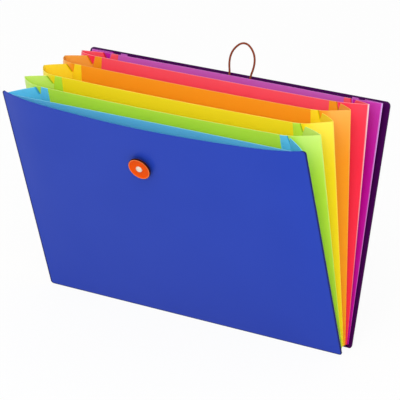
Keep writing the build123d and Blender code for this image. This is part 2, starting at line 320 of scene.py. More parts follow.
@dataclass(frozen=True)
class BraidFinish(Finish):
    """Polyester braid over rubber: matt crossing yarns with dark gaps between them."""

    gap: str
    yarn_mm: float = 0.9
    yarns_around: int = 8
    yarn_depth_mm: float = 0.12
    relief: float = 0.6
    roughness: float = 0.75
    specular: float = 0.25
    sheen: float = 0.15
    sheen_roughness: float = 0.5

    def surface(self, tree: Tree) -> Inputs:
        """Lay out the look. Two sets of yarns lean opposite ways round the cord.

        Args:
            tree: The material's node tree.

        Returns:
            The shader's inputs.
        """
        turns = []
        for name, count in ((ALONG, 1 / (self.yarn_mm * MM)), (AROUND, self.yarns_around)):
            measure = add_node(tree, "ShaderNodeAttribute", attribute_name=name).outputs["Fac"]
            angle = {0: measure, 1: math.tau * count}
            turns.append(add_node(tree, "ShaderNodeMath", angle, operation="MULTIPLY").outputs[0])
        waves = []
        for lean in ("ADD", "SUBTRACT"):
            leaning = add_node(tree, "ShaderNodeMath", dict(enumerate(turns)), operation=lean).outputs[0]
            waves.append(add_node(tree, "ShaderNodeMath", {0: leaning}, operation="SINE").outputs[0])
        crossing = add_node(tree, "ShaderNodeMath", dict(enumerate(waves)), operation="MAXIMUM").outputs[0]
        wave = {"Value": crossing, "From Min": -1.0, "From Max": 1.0}
        height = add_node(tree, "ShaderNodeMapRange", wave).outputs["Result"]
        tones = {0: height, 6: linear(self.gap), 7: linear(self.colour)}
        bump = add_node(tree, "ShaderNodeBump", {
            "Height": height, "Strength": self.relief, "Distance": self.yarn_depth_mm * MM,
        })
        return {
            "Base Color": add_node(tree, "ShaderNodeMix", tones, data_type="RGBA").outputs[2],
            "Normal": bump.outputs["Normal"], "Roughness": self.roughness,
            "Specular IOR Level": self.specular, "Sheen Weight": self.sheen,
            "Sheen Roughness": self.sheen_roughness,
        }


@dataclass(frozen=True)
class PlatedFinish(Finish):
    """Nickel-plated steel, pressed and tumbled: grey metal with fine handling scratches."""

    roughness: float = 0.32
    roughness_spread: float = 0.1
    scratch_mm: float = 0.35

    def surface(self, tree: Tree) -> Inputs:
        """Lay out the look. The roughness follows the scratches.

        Args:
            tree: The material's node tree.

        Returns:
            The shader's inputs.
        """
        place = add_node(tree, "ShaderNodeTexCoord").outputs["Object"]
        scratches = {"Vector": place, "Scale": 1 / (self.scratch_mm * MM), "Detail": 4.0}
        wear = add_node(tree, "ShaderNodeTexNoise", scratches).outputs["Fac"]
        rough = add_node(tree, "ShaderNodeMapRange", {
            "Value": wear, "To Min": self.roughness - self.roughness_spread,
            "To Max": self.roughness + self.roughness_spread,
        })
        return {"Base Color": linear(self.colour), "Metallic": 1.0, "Roughness": rough.outputs["Result"]}


FINISHES: dict[str, Finish] = {
    # The blue sheet's pale tone is a dark navy: painted shade along the cover's side edges and foot.
    "blue_sheet": SheetFinish(
        "opaque_blue_polypropylene", "#2440AC", "#203CA6", "#12195A", 0.0, 0.36, 0.13
    ),
    "dark_purple_sheet": SheetFinish(
        "opaque_dark_purple_polypropylene", "#42084F", "#3D0649", "#5A3A66", 0.0, 0.26, 0.15
    ),
    # Each coloured sheet's pale tone is painted light under its upper edges and along its creases.
    "cyan_sheet": SheetFinish("translucent_cyan_polypropylene", "#58CCFA", "#50C5F5", "#B4E8F6"),
    "green_sheet": SheetFinish("translucent_green_polypropylene", "#C3EC3A", "#BBE534", "#E4FBA8"),
    "yellow_sheet": SheetFinish("translucent_yellow_polypropylene", "#FFDC0C", "#FFD808", "#FFEF7C"),
    "orange_sheet": SheetFinish("translucent_orange_polypropylene", "#F59C14", "#F29710", "#F4C878"),
    "red_sheet": SheetFinish(
        "translucent_red_polypropylene", "#F82C49", "#F32743", "#FFD9E1", specular=0.15
    ),
    "magenta_sheet": SheetFinish(
        "translucent_magenta_polypropylene", "#BA069F", "#B40498", "#DDB6FF", specular=0.08
    ),
    # The button's pale tone is a painted highlight on its rim, and its dark tone painted shade on its side.
    "button": MouldedFinish(
        "moulded_orange_polypropylene", "#E24F00", "#DA4900", "#F58A4C", "#3E160A", 0.4, 0.05
    ),
    "rivet": MouldedFinish(
        "moulded_natural_polypropylene", "#DCCBBB", "#D3C0AE", "#EADFD2", "#8F7C69", 0.3, 0.4
    ),
    "elastic": BraidFinish("braided_orange_elastic", "#98421C", "#4E1D0C"),
    "ferrule": PlatedFinish("nickel_plated_steel", "#B9B9BC"),
}


def new_object(name: str, mesh: Mesh) -> Piece:
    """Put a mesh in the scene as an object at the origin.

    Args:
        name: The object's name.
        mesh: Its mesh.

    Returns:
        The new object.
    """
    piece = bpy.data.objects.new(name, mesh)
    bpy.context.scene.collection.objects.link(piece)
    return piece


def smooth(mesh: Mesh) -> None:
    """Shade a mesh smooth between its sharp edges."""
    mesh.shade_smooth()
    mesh.set_sharp_from_angle(angle=math.radians(SHARP_DEG))


def settle(piece: Piece) -> Piece:
    """Turn a piece's modifiers into its plain mesh, closed, facing outwards and smooth.

    Args:
        piece: The object with its modifiers.

    Returns:
        The same object.
    """
    graph = bpy.context.evaluated_depsgraph_get()
    mesh = bpy.data.meshes.new_from_object(piece.evaluated_get(graph))
    piece.modifiers.clear()
    mesh.name = piece.name
    piece.data = mesh
    work = bmesh.new()
    work.from_mesh(mesh)
    bmesh.ops.recalc_face_normals(work, faces=work.faces)
    work.to_mesh(mesh)
    work.free()
    smooth(mesh)
    return piece


def keep_mesh(work: bmesh.types.BMesh, name: str) -> Mesh:
    """Turn finished work into a mesh.

    Args:
        work: The shape, freed afterwards.
        name: The mesh's name.

    Returns:
        The new mesh.
    """
    mesh = bpy.data.meshes.new(name)
    work.to_mesh(mesh)
    work.free()
    return mesh


def round_edges(piece: Piece, width: float, over_deg: float) -> None:
    """Round a piece's edges.

    Args:
        piece: The object, not settled yet.
        width: How far the edges are rounded, in millimetres.
        over_deg: Edges that turn by more than this are rounded.
    """
    rounding = piece.modifiers.new("rounding", "BEVEL")
    rounding.width, rounding.segments = width * MM, ROUND_STEPS
    rounding.limit_method, rounding.angle_limit = "ANGLE", math.radians(over_deg)


def tint(mesh: Mesh, values: list[float]) -> None:
    """Store how far each point takes its finish's painted light and shade: the pale tone above zero, the
    dark tone below.
    """
    mesh.attributes.new(PALE, "FLOAT", "POINT").data.foreach_set("value", values)


def spread(low: float, high: float, count: int, band: float = 0.0) -> list[float]:
    """Space values evenly between two ends.

    Args:
        low: The first value.
        high: The last value.
        count: How many steps lie between them.
        band: A further value is added this far before the last, unless it is zero.

    Returns:
        The values in order.
    """
    values = [low + (high - low) * step / count for step in range(count + 1)]
    if band:
        values = [value for value in values if value < high - 2 * band] + [high - band, high]
    return values


def sheet_piece(name: str, grid: Grid, thickness: float, shades: Shades, bevel: float = 0.0) -> Piece:
    """Build one thin plastic sheet around a grid of points.

    Args:
        name: The piece's name.
        grid: Rows of points from the foot up, each from its first column to its last.
        thickness: The sheet's thickness in millimetres.
        shades: How far each point takes the finish's edge colours.
        bevel: How far the cut edges are rounded, in millimetres.

    Returns:
        The finished object, a closed shell.
    """
    columns = len(grid[0])
    faces = []
    for row in range(len(grid) - 1):
        for start in range(row * columns, (row + 1) * columns - 1):
            faces.append((start, start + 1, start + columns + 1, start + columns))
    mesh = bpy.data.meshes.new(name)
    mesh.from_pydata([point for row in grid for point in row], [], faces)
    tint(mesh, [shade for row in shades for shade in row])
    piece = new_object(name, mesh)
    shell = piece.modifiers.new("shell", "SOLIDIFY")
    shell.thickness, shell.offset, shell.use_even_offset = thickness * MM, 0.0, True
    if bevel:
        round_edges(piece, bevel, SHEET_EDGE_DEG)
    return settle(piece)


def lathe(
    name: str, profile: list[tuple[float, float]], place: Matrix, bevel: float, steps: int = 72
) -> Piece:
    """Turn a closed half-outline into a round piece.

    Args:
        name: The piece's name.
        profile: Corners of the half-outline as radius and height in millimetres.
        place: Where the turning axis stands, with its Z along the axis.
        bevel: How far the corners are rounded, in millimetres.
        steps: How many flats the circle has.

    Returns:
        The finished object.
    """
    work = bmesh.new()
    corners = [work.verts.new((radius * MM, 0, height * MM)) for radius, height in profile]
    edges = [work.edges.new(pair) for pair in zip(corners, corners[1:] + corners[:1])]
    whole = {"axis": (0, 0, 1), "cent": (0, 0, 0), "angle": math.tau, "steps": steps}
    bmesh.ops.spin(work, geom=corners + edges, **whole)
    bmesh.ops.remove_doubles(work, verts=work.verts, dist=MERGE_DISTANCE)
    bmesh.ops.dissolve_degenerate(work, edges=work.edges, dist=MERGE_DISTANCE)
    bmesh.ops.recalc_face_normals(work, faces=work.faces)
    work.transform(place)
    piece = new_object(name, keep_mesh(work, name))
    round_edges(piece, bevel, TURNED_EDGE_DEG)
    return settle(piece)


def geometry_tree(name: str, inputs: dict[str, str]) -> tuple[Tree, dict[str, Socket]]:
    """Start a Geometry Nodes tree with named inputs.

    Args:
        name: The tree's name.
        inputs: Each input's name and socket type, after the geometry itself.

    Returns:
        The tree and its input sockets by name.
    """
    tree = bpy.data.node_groups.new(name, "GeometryNodeTree")
    for label, kind in ({"Geometry": "NodeSocketGeometry"} | inputs).items():
        tree.interface.new_socket(label, in_out="INPUT", socket_type=kind)
    tree.interface.new_socket("Geometry", in_out="OUTPUT", socket_type="NodeSocketGeometry")
    entry = add_node(tree, "NodeGroupInput")
    return tree, {socket.name: socket for socket in entry.outputs if socket.name}


def finish_tree(tree: Tree, shape: Socket, material: Socket) -> Tree:
    """End a tree in real geometry with its material.

    Args:
        tree: The Geometry Nodes tree.
        shape: The socket that gives the shape.
        material: The socket that gives the material.

    Returns:
        The same tree.
    """
    real = add_node(tree, "GeometryNodeRealizeInstances", {"Geometry": shape}).outputs[0]
    dressed = add_node(tree, "GeometryNodeSetMaterial", {"Geometry": real, "Material": material})
    add_node(tree, "NodeGroupOutput", {"Geometry": dressed.outputs[0]})
    return tree


def grow(name: str, lines: Grid, tree: Tree, values: dict[str, object]) -> Piece:
    """Run a Geometry Nodes tree on one or more lines and keep the result as a plain mesh.

    Args:
        name: The piece's name.
        lines: The lines of points that the tree follows.
        tree: The Geometry Nodes tree.
        values: The tree's inputs by name.

    Returns:
        The finished object.
    """
    mesh = bpy.data.meshes.new(name)
    points, edges = [], []
    for line in lines:
        edges += [(len(points) + step, len(points) + step + 1) for step in range(len(line) - 1)]
        points += line
    mesh.from_pydata(points, edges, [])
    piece = new_object(name, mesh)
    modifier = piece.modifiers.new("grow", "NODES")
    modifier.node_group = tree
    for item in tree.interface.items_tree:
        if item.in_out == "INPUT" and item.name in values:
            modifier[item.identifier] = values[item.name]
    return settle(piece)


def tube_tree() -> Tree:
    """Return the tree that lays a round tube along a line and measures along and around it."""
    tree, given = geometry_tree("round_tube", {
        "Radius": "NodeSocketFloat", "Flats": "NodeSocketInt", "Material": "NodeSocketMaterial",
    })
    line = add_node(tree, "GeometryNodeMeshToCurve", {"Mesh": given["Geometry"]}).outputs[0]
    circle = {"Resolution": given["Flats"], "Radius": given["Radius"]}
    ring = add_node(tree, "GeometryNodeCurvePrimitiveCircle", circle).outputs["Curve"]
    measured = []
    for curve, name, measure in ((line, ALONG, "Length"), (ring, AROUND, "Factor")):
        value = add_node(tree, "GeometryNodeSplineParameter").outputs[measure]
        stored = {"Geometry": curve, "Name": name, "Value": value}
        measured.append(add_node(tree, "GeometryNodeStoreNamedAttribute", stored, domain="POINT").outputs[0])
    tube = add_node(tree, "GeometryNodeCurveToMesh", {
        "Curve": measured[0], "Profile Curve": measured[1], "Fill Caps": True,
    })
    return finish_tree(tree, tube.outputs[0], given["Material"])


def weld_tree() -> Tree:
    """Return the tree that sets a row of small weld marks along a line."""
    tree, given = geometry_tree("weld_marks", {
        "Spacing": "NodeSocketFloat", "Size": "NodeSocketVector", "Tilt": "NodeSocketVector",
        "Material": "NodeSocketMaterial",
    })
    line = add_node(tree, "GeometryNodeMeshToCurve", {"Mesh": given["Geometry"]}).outputs[0]
    places = {"Curve": line, "Length": given["Spacing"]}
    row = add_node(tree, "GeometryNodeInstanceOnPoints", {
        "Points": add_node(tree, "GeometryNodeResampleCurve", places, mode="LENGTH").outputs[0],
        "Instance": add_node(tree, "GeometryNodeMeshCube", {"Size": given["Size"]}).outputs["Mesh"],
        "Rotation": add_node(tree, "FunctionNodeEulerToRotation", {"Euler": given["Tilt"]}).outputs[0],
    })
    return finish_tree(tree, row.outputs[0], given["Material"])


@dataclass(frozen=True)
class Hinge:
    """One joint of the frame, with the fold that it stands at in the photograph."""

    position: Vector
    axis: Vector
    fold_deg: float


class Frame:
    """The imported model: its joints, bodies and materials as the pieces need them."""

    def __init__(self) -> None:
        """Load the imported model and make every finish."""
        self.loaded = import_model()
        self.cad_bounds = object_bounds()
        self.finishes = {slot: finish.material() for slot, finish in FINISHES.items()}
        self.tube = tube_tree()
        self.weld = weld_tree()
        self.joints = {joint["name"]: joint for joint in self.loaded["joints"]}
        couplings = self.loaded["record"]["behaviour"]["couplings"]
        self.couplings = {row["joint"]: row for row in couplings}

    def hinge(self, name: str) -> Hinge:
        """Read one joint.

        Args:
            name: The joint's name.

        Returns:
            Its place, axis and the fold that it closes by.
        """
        joint = self.joints[name]
        row = self.couplings.get(name)
        travel = joint.get("range_deg", (0, 0))[1]
        fold = row["ratio"] * self.joints[row["follows"]]["range_deg"][1] if row else travel
        return Hinge(Vector(joint["pos_m"]), Vector(joint["axis"]).normalized(), fold)

    def dress(self, piece: Piece, slot: str) -> None:
        """Give a piece the finish of its slot."""
        piece.data.materials.clear()
        piece.data.materials.append(self.finishes[slot])

    def put(self, piece: Piece, body: str, slot: str, *nodes: str) -> Piece:
        """Dress a piece and set it on its body.

        Args:
            piece: The finished object.
            body: The body that it rides on.
            slot: The record's material slot.
            nodes: The solids that it stands for.

        Returns:
            The same object.
        """
        self.dress(piece, slot)
        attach(piece, body)
        if nodes:
            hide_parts(*nodes)
        LOG.info("%s rides on %s, %d faces", piece.name, body, len(piece.data.polygons))
        return piece


@dataclass(frozen=True)
class SheetCut:
    """How the pocket sheets are cut, creased and welded, in millimetres.

    The shares run from 0 to 1, and the counts are how finely each piece is divided.
    """

    thickness: float = 0.35
    height: float = 229.5
    half_width: float = 162.5
    front_half_width: float = 160.5
    foot: float = 0.3
    gusset_top_width: float = 28.0
    front_gusset_top_width: float = 32.6
    gusset_foot_width: float = 1.5
    gusset_foot: float = 0.6
    gusset_reach: float = 0.25
    gusset_curve: float = 0.7
    fold_gap: float = 0.3
    tab_top_width: float = 9.0
    tab_foot: float = 9.0
    tab_gap: float = 0.05
    tab_room: float = 0.35
    notch_depth: float = 9.0
    notch_gusset_width: float = 6.0
    front_notch_gusset_width: float = 3.5
    notch_tab_width: float = 1.5
    edge_band: float = 0.6
    # Painted shadow at the notch edges, and painted light under the upper edges and along the creases.
    notch_dark: float = 0.7
    edge_pale: float = 0.4
    glow_reach: float = 60.0
    glow_share: float = 0.4
    crease_share: float = 0.05
    left_curve: float = 0.95
    right_curve: float = 0.1
    right_bend: float = 0.32
    flat_share: float = 0.05
    weld_spacing: float = 3.0
    weld_size: tuple[float, float, float] = (1.0, 0.16, 1.7)
    weld_inset: float = 2.2
    panel_rows: int = 26
    panel_columns: int = 40
    bend_columns: int = 8
    strip_columns: int = 18
    side_rows: int = 24
    notch_rows: int = 5
    leaf_columns: int = 12
    tab_columns: int = 6
    crease_flats: int = 12

    @property
    def crease_offset(self) -> float:
        """How far a sheet's middle lies from the axis of its outer crease."""
        return (self.thickness + self.fold_gap) / 2

    @property
    def crease_radius(self) -> float:
        """The outside radius of the folded crease."""
        return self.crease_offset + self.thickness / 2

    @property
    def notch_foot(self) -> float:
        """The height at which the notches start."""
        return self.height - self.notch_depth

    def plain_rows(self, foot: float) -> list[float]:
        """Return the heights of the rows of a piece with a straight top."""
        return spread(foot, self.height, self.panel_rows, self.edge_band)

    def notched_rows(self, foot: float) -> list[float]:
        """Return the heights of the rows of a piece with a notched top corner."""
        notch = spread(self.notch_foot, self.height, self.notch_rows, self.edge_band)
        return spread(foot, self.notch_foot, self.side_rows) + notch[1:]

    def notched(self, width: float, top: float, up: float) -> float:
        """Return a width that is plain below the notch and slopes to another at the top."""
        return width + (top - width) * max(0.0, up - self.notch_foot) / self.notch_depth

    def shades(
        self, ups: list[float], glows: list[float], crease: float = 0.0, notch_shadowed: bool = False
    ) -> Shades:
        """Return how pale a sheet looks at each of its points: painted light stands in for light entering
        its upper edge and its crease.

        Args:
            ups: The height of each row.
            glows: How pale each column is just under the upper edge, from 0 to 1.
            crease: How pale the last column is at its top.
            notch_shadowed: Whether the last column is dark along the punched edge of a notch.

        Returns:
            The paleness of each point, row by row.
        """
        made = []
        for up in ups:
            fall = max(0.0, 1 - (self.height - up) / self.glow_reach) ** 2
            row = [glow * fall if up < self.height else max(glow, self.edge_pale) for glow in glows]
            row[-1] = max(row[-1], crease * (up / self.height) ** 2)
            # Painted shadow along the cut edge of a notch.
            if notch_shadowed and up > self.notch_foot:
                row[-1] = -self.notch_dark
            made.append(row)
        return made

    def gusset_width(self, top_width: float, up: float) -> float:
        """Return a gusset's width at a height."""
        return self.gusset_foot_width + (top_width - self.gusset_foot_width) * up / self.height

    def bend_reach(self, up: float) -> float:
        """Return how far the rounded bend on the right reaches to each side at a height."""
        return self.right_bend * self.gusset_width(self.gusset_top_width, up)

    def fold_x(self, up: float) -> float:
        """Return how far out the bend beside a panel lies at a height."""
        return self.half_width - self.gusset_width(self.gusset_top_width, up)


@dataclass(frozen=True)
class Wall:
    """An upright sheet: where its pocket's foot stands, how it leans and how it bows.

    Lengths across, up the slant and out of the front face are in millimetres.
    """

    body: str
    foot: Vector
    lean_deg: float
    thickness: float
    cut: SheetCut
    bow: float = 0.0
    bow_half_width: float = 1.0
    strip_deg: float = 0.0
    pocket: str = ""

    @property
    def up(self) -> Vector:
        """The direction up the slant."""
        lean = math.radians(self.lean_deg)
        return Vector((0, math.sin(lean), math.cos(lean)))

    @property
    def out(self) -> Vector:
        """The direction out of the front face."""
        lean = math.radians(self.lean_deg)
        return Vector((0, -math.cos(lean), math.sin(lean)))

    def at(self, across: float, up: float, out: float) -> Vector:
        """Return the point at these distances, in metres in the row frame."""
        return self.foot + (Vector((across, 0, 0)) + self.up * up + self.out * out) * MM

    def bend_back(self, across: float, up: float) -> float:
        """Return how far the rounded bend on the right falls behind the panel's flat plane.

        Args:
            across: The distance from the sheet's middle line.
            up: The height up the slant.

        Returns:
            The distance, none where the panel is flat or has no strip beside it.
        """
        reach = self.cut.bend_reach(up)
        run = across - self.cut.fold_x(up) + reach
        if not self.strip_deg or run <= 0:
            return 0.0
        angle = math.radians(self.strip_deg)
        fall = 1 - math.cos(angle)
        share = (1 - math.sqrt(max(0.0, 1 - fall * run / reach))) / fall
        return reach * share ** 2 * math.sin(angle)

    def bowed(self, across: float, up: float, out: float) -> Vector:
        """Return the point at these distances from the bowed sheet."""
        share = max(0.0, 1 - (across / self.bow_half_width) ** 2) * max(0.0, up / self.cut.height)
        return self.at(across, up, out + self.bow * share - self.bend_back(across, up))

    def flatten(self, piece: Piece) -> None:
        """Give a piece on this sheet its own copy of its mesh, where the sheet closes a pocket."""
        if self.pocket:
            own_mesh(piece)


@dataclass(frozen=True)
class SheetLook:
    """A sheet's bow in millimetres, forward above zero, and how much painted light pales its pieces at the
    top and crease.
    """

    bow: float
    panel: float
    strip: float
    leaf: float
    crease: float


class PocketColour(Enum):
    """The pocket sheets from the front to the back."""

    CYAN = SheetLook(-0.8, 0.2, 0.0, 0.2, 0.2)
    GREEN = SheetLook(2.4, 0.08, 0.42, 0.5, 0.4)
    YELLOW = SheetLook(2.3, 0.1, 0.4, 0.2, 0.4)
    ORANGE = SheetLook(2.2, 0.06, 0.4, 0.35, 0.4)
    RED = SheetLook(2.1, 0.11, 0.05, 0.1, 1.0)
    MAGENTA = SheetLook(-3.0, 0.24, 0.08, 0.1, 0.8)

    @property
    def slot(self) -> str:
        """The colour's material slot."""
        return self.named("sheet")

    @property
    def is_front(self) -> bool:
        """Whether this is the flat sheet behind the front cover, which has no bent strips."""
        return self is PocketColour.CYAN

    def named(self, part: str, side: Side | None = None) -> str:
        """Return the name of one of this colour's pieces, solids, bodies or joints."""
        return "_".join([self.name.lower(), *([side.word] if side else []), part])

    def panel_half(self, cut: SheetCut, up: float) -> float:
        """Return half of the panel's width at a height."""
        return cut.front_half_width if self.is_front else cut.fold_x(up)


@dataclass
class PocketSheet:
    """One coloured sheet: its panel, bent outer strips, gussets, weld tabs and floor."""

    frame: Frame
    colour: PocketColour
    wall: Wall
    behind: Wall
    cut: SheetCut

    @property
    def look(self) -> SheetLook:
        """How this colour bows and glows."""
        return self.colour.value

    @property
    def top_width(self) -> float:
        """The gusset's width at the top."""
        return self.cut.front_gusset_top_width if self.colour.is_front else self.cut.gusset_top_width

    @property
    def notch_width(self) -> float:
        """How far the notch cuts into the gusset's top edge."""
        return self.cut.front_notch_gusset_width if self.colour.is_front else self.cut.notch_gusset_width

    def crease(self, side: Side) -> Hinge:
        """Return the hinge at the outer crease of one side."""
        return self.frame.hinge(self.colour.named("gusset_fold", side))

    def crease_point(self, side: Side, up: float) -> Vector:
        """Find a point on an outer crease.

        Args:
            side: The end of the file.
            up: The height up the slant.

        Returns:
            The point on the crease's axis.
        """
        crease = self.crease(side)
        axis = crease.axis if crease.axis.z > 0 else -crease.axis
        return crease.position + axis * up * MM

    def bend_point(self, side: Side, up: float) -> Vector:
        """Return a point on the bend beside the panel at a height."""
        return self.wall.at(side.value * self.colour.panel_half(self.cut, up), up, 0)

    def strip_normal(self, side: Side) -> Vector:
        """Find which way an outer strip faces.

        Args:
            side: The end of the file.

        Returns:
            The direction out of its front face.
        """
        if self.colour.is_front:
            return self.wall.out
        top, foot = self.cut.height, self.cut.gusset_foot
        outward = self.crease_point(side, top) - self.bend_point(side, top)
        normal = outward.cross(self.crease_point(side, top) - self.crease_point(side, foot)).normalized()
        return normal if normal.dot(self.wall.out) > 0 else -normal

    def sheet(self, name: str, grid: Grid, shades: Shades, body: str, node: str) -> Piece:
        """Build one piece of this sheet and set it on its body.

        Args:
            name: The piece's name.
            grid: Its rows of points.
            shades: The paleness of each point.
            body: The body that it rides on.
            node: The solid that it stands for.

        Returns:
            The finished object.
        """
        piece = sheet_piece(name, grid, self.cut.thickness, shades)
        return self.frame.put(piece, body, self.colour.slot, node)

    def panel(self) -> None:
        """Build the middle of the sheet with its bow."""
        grid, ups = [], self.cut.plain_rows(self.cut.foot)
        for up in ups:
            half = self.colour.panel_half(self.cut, up)
            inner = half - self.cut.bend_reach(up)
            columns = spread(-half, inner, self.cut.panel_columns)
            columns += spread(inner, half, self.cut.bend_columns)[1:]
            grid.append([self.wall.bowed(across, up, 0) for across in columns])
        shades = self.cut.shades(ups, [self.look.panel] * len(grid[0]))
        name, node = self.colour.named("pocket_panel"), self.colour.named("panel")
        self.wall.flatten(self.sheet(name, grid, shades, self.wall.body, node))

    def outer_strip(self, side: Side) -> None:
        """Build the strip beside the panel, curving back to the outer crease.

        Args:
            side: The end of the file.
        """
        fold = self.frame.hinge(self.colour.named("strip_fold", side))
        angle = math.radians(fold.fold_deg)
        normal = self.strip_normal(side)
        bend, curve = 0.0, self.cut.left_curve
        if side is Side.RIGHT:
            bend, curve = self.cut.right_bend, self.cut.right_curve
        shares = spread(0, 1, self.cut.strip_columns, self.cut.crease_share)
        rises = [curve * math.tan(angle) * share * (1 - share) for share in shares]
        for place, share in enumerate(shares):
            if share < bend:
                rises[place] -= bend * math.sin(angle) * ((1 - share / bend) / 2) ** 2
        grid, ups = [], self.cut.plain_rows(self.cut.gusset_foot)
        for up in ups:
            start = self.bend_point(side, up)
            run = self.crease_point(side, up) + normal * self.cut.crease_offset * MM - start
            grid.append([
                start + run * share + normal * run.length * rise for share, rise in zip(shares, rises)
            ])
        # Painted light pales the strip under its upper edge, fading towards the panel.
        glows = [self.look.strip * min(1.0, share / self.cut.glow_share) for share in shares]
        shades = self.cut.shades(ups, glows, self.look.crease)
        names = [self.colour.named(part, side) for part in ("side_strip", "strip", "outer_strip")]
        piece = self.sheet(names[0], grid, shades, *names[1:])
        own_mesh(piece)

    def gusset(self, side: Side) -> None:
        """Build the leaf that folds back inside the outer crease, with its notched top corner.

        Args:
            side: The end of the file.
        """
        cut, crease = self.cut, self.crease(side)
        opened = Matrix.Rotation(-math.radians(crease.fold_deg), 3, crease.axis)
        inward = self.bend_point(side, cut.height) - self.crease_point(side, cut.height)
        if self.colour.is_front:
            inward = Vector((-side.value, 0, 0))
        normal = opened @ self.strip_normal(side)
        inward = (opened @ inward).normalized()
        inward = (inward - normal * inward.dot(normal)).normalized()
        top = cut.gusset_width(self.top_width, cut.height) - self.notch_width
        shares = spread(0, 1, cut.leaf_columns)
        grid, ups = [], cut.notched_rows(cut.gusset_foot)
        for up in ups:
            below = cut.gusset_width(self.top_width, min(up, cut.notch_foot)) + cut.gusset_reach
            width = cut.notched(below, top, up)
            start = self.crease_point(side, up) - normal * cut.crease_offset * MM
            curve = cut.gusset_curve * up / cut.height
            grid.append([
                start + (inward * width * share - normal * curve * 4 * share * (1 - share)) * MM
                for share in shares
            ])
        # On the left, the leaf gets painted shadow along the cut edge of its notch.
        shades = cut.shades(ups, [self.look.leaf] * len(shares), notch_shadowed=side is Side.LEFT)
        names = [self.colour.named(part, side) for part in ("side_leaf", "leaf", "gusset")]
        self.sheet(names[0], grid, shades, *names[1:])

    def crease_fold(self, side: Side) -> None:
        """Build the round of the outer crease, which fits both leaves at every angle.

        Args:
            side: The end of the file.
        """
        ends = [self.crease_point(side, up) for up in (self.cut.gusset_foot, self.cut.height)]
        piece = grow(self.colour.named("crease", side), [ends], self.frame.tube, {
            "Radius": self.cut.crease_radius * MM, "Flats": self.cut.crease_flats,
            "Material": self.frame.finishes[self.colour.slot],
        })
        top = self.cut.height * MM
        # Painted light: the crease turns paler towards the top.
        tint(piece.data, [self.look.crease * (vertex.co.z / top) ** 2 for vertex in piece.data.vertices])
        body = self.wall.body if self.colour.is_front else self.colour.named("strip", side)
        self.frame.put(piece, body, self.colour.slot)

    def weld_tab(self, side: Side) -> None:
        """Build the end of the gusset that is welded to the sheet behind.

        Args:
            side: The end of the file.
        """
        cut = self.cut
        edge = cut.fold_x(cut.height)
        level = (self.behind.thickness + cut.thickness) / 2 + cut.tab_gap
        grid, ups = [], cut.notched_rows(cut.tab_foot)
        for up in ups:
            below = cut.fold_x(min(up, cut.notch_foot)) - cut.tab_room
            outer = cut.notched(below, edge - cut.notch_tab_width, up)
            columns = spread(edge - cut.tab_top_width, outer, cut.tab_columns)
            grid.append([self.behind.bowed(side.value * across, up, level) for across in columns])
        # On the right, the tab gets painted shadow along the cut edge of its notch.
        shades = cut.shades(ups, [self.look.panel] * len(grid[0]), notch_shadowed=side is Side.RIGHT)
        name, node = self.colour.named("tab", side), self.colour.named("weld_tab", side)
        self.behind.flatten(self.sheet(name, grid, shades, self.behind.body, node))

    def weld_marks(self) -> None:
        """Build the rows of weld marks on both tabs."""
        cut = self.cut
        across = cut.fold_x(cut.height) - cut.tab_top_width + cut.weld_inset
        level = self.behind.thickness / 2 + cut.thickness
        ups = spread(cut.tab_foot + cut.weld_spacing, cut.notch_foot, cut.side_rows)
        lines = [[self.behind.bowed(side.value * across, up, level) for up in ups] for side in Side]
        piece = grow(self.colour.named("weld_marks"), lines, self.frame.weld, {
            "Spacing": cut.weld_spacing * MM, "Size": Vector(cut.weld_size) * MM,
            "Tilt": Vector((-math.radians(self.behind.lean_deg), 0, 0)),
            "Material": self.frame.finishes[self.colour.slot],
        })
        self.frame.put(piece, self.behind.body, self.colour.slot)
        self.behind.flatten(piece)

    def floor(self) -> None:
        """Finish the strip that closes the pocket's foot."""
        node = self.frame.loaded["nodes"][self.colour.named("pocket_floor")]
        self.frame.dress(node, self.colour.slot)
        LOG.info("%s keeps its solid", node.name)

    def build(self) -> None:
        """Build every piece of the sheet."""
        self.panel()
        self.floor()
        self.weld_marks()
        for side in Side:
            if not self.colour.is_front:
                self.outer_strip(side)
            self.gusset(side)
            self.crease_fold(side)
            self.weld_tab(side)


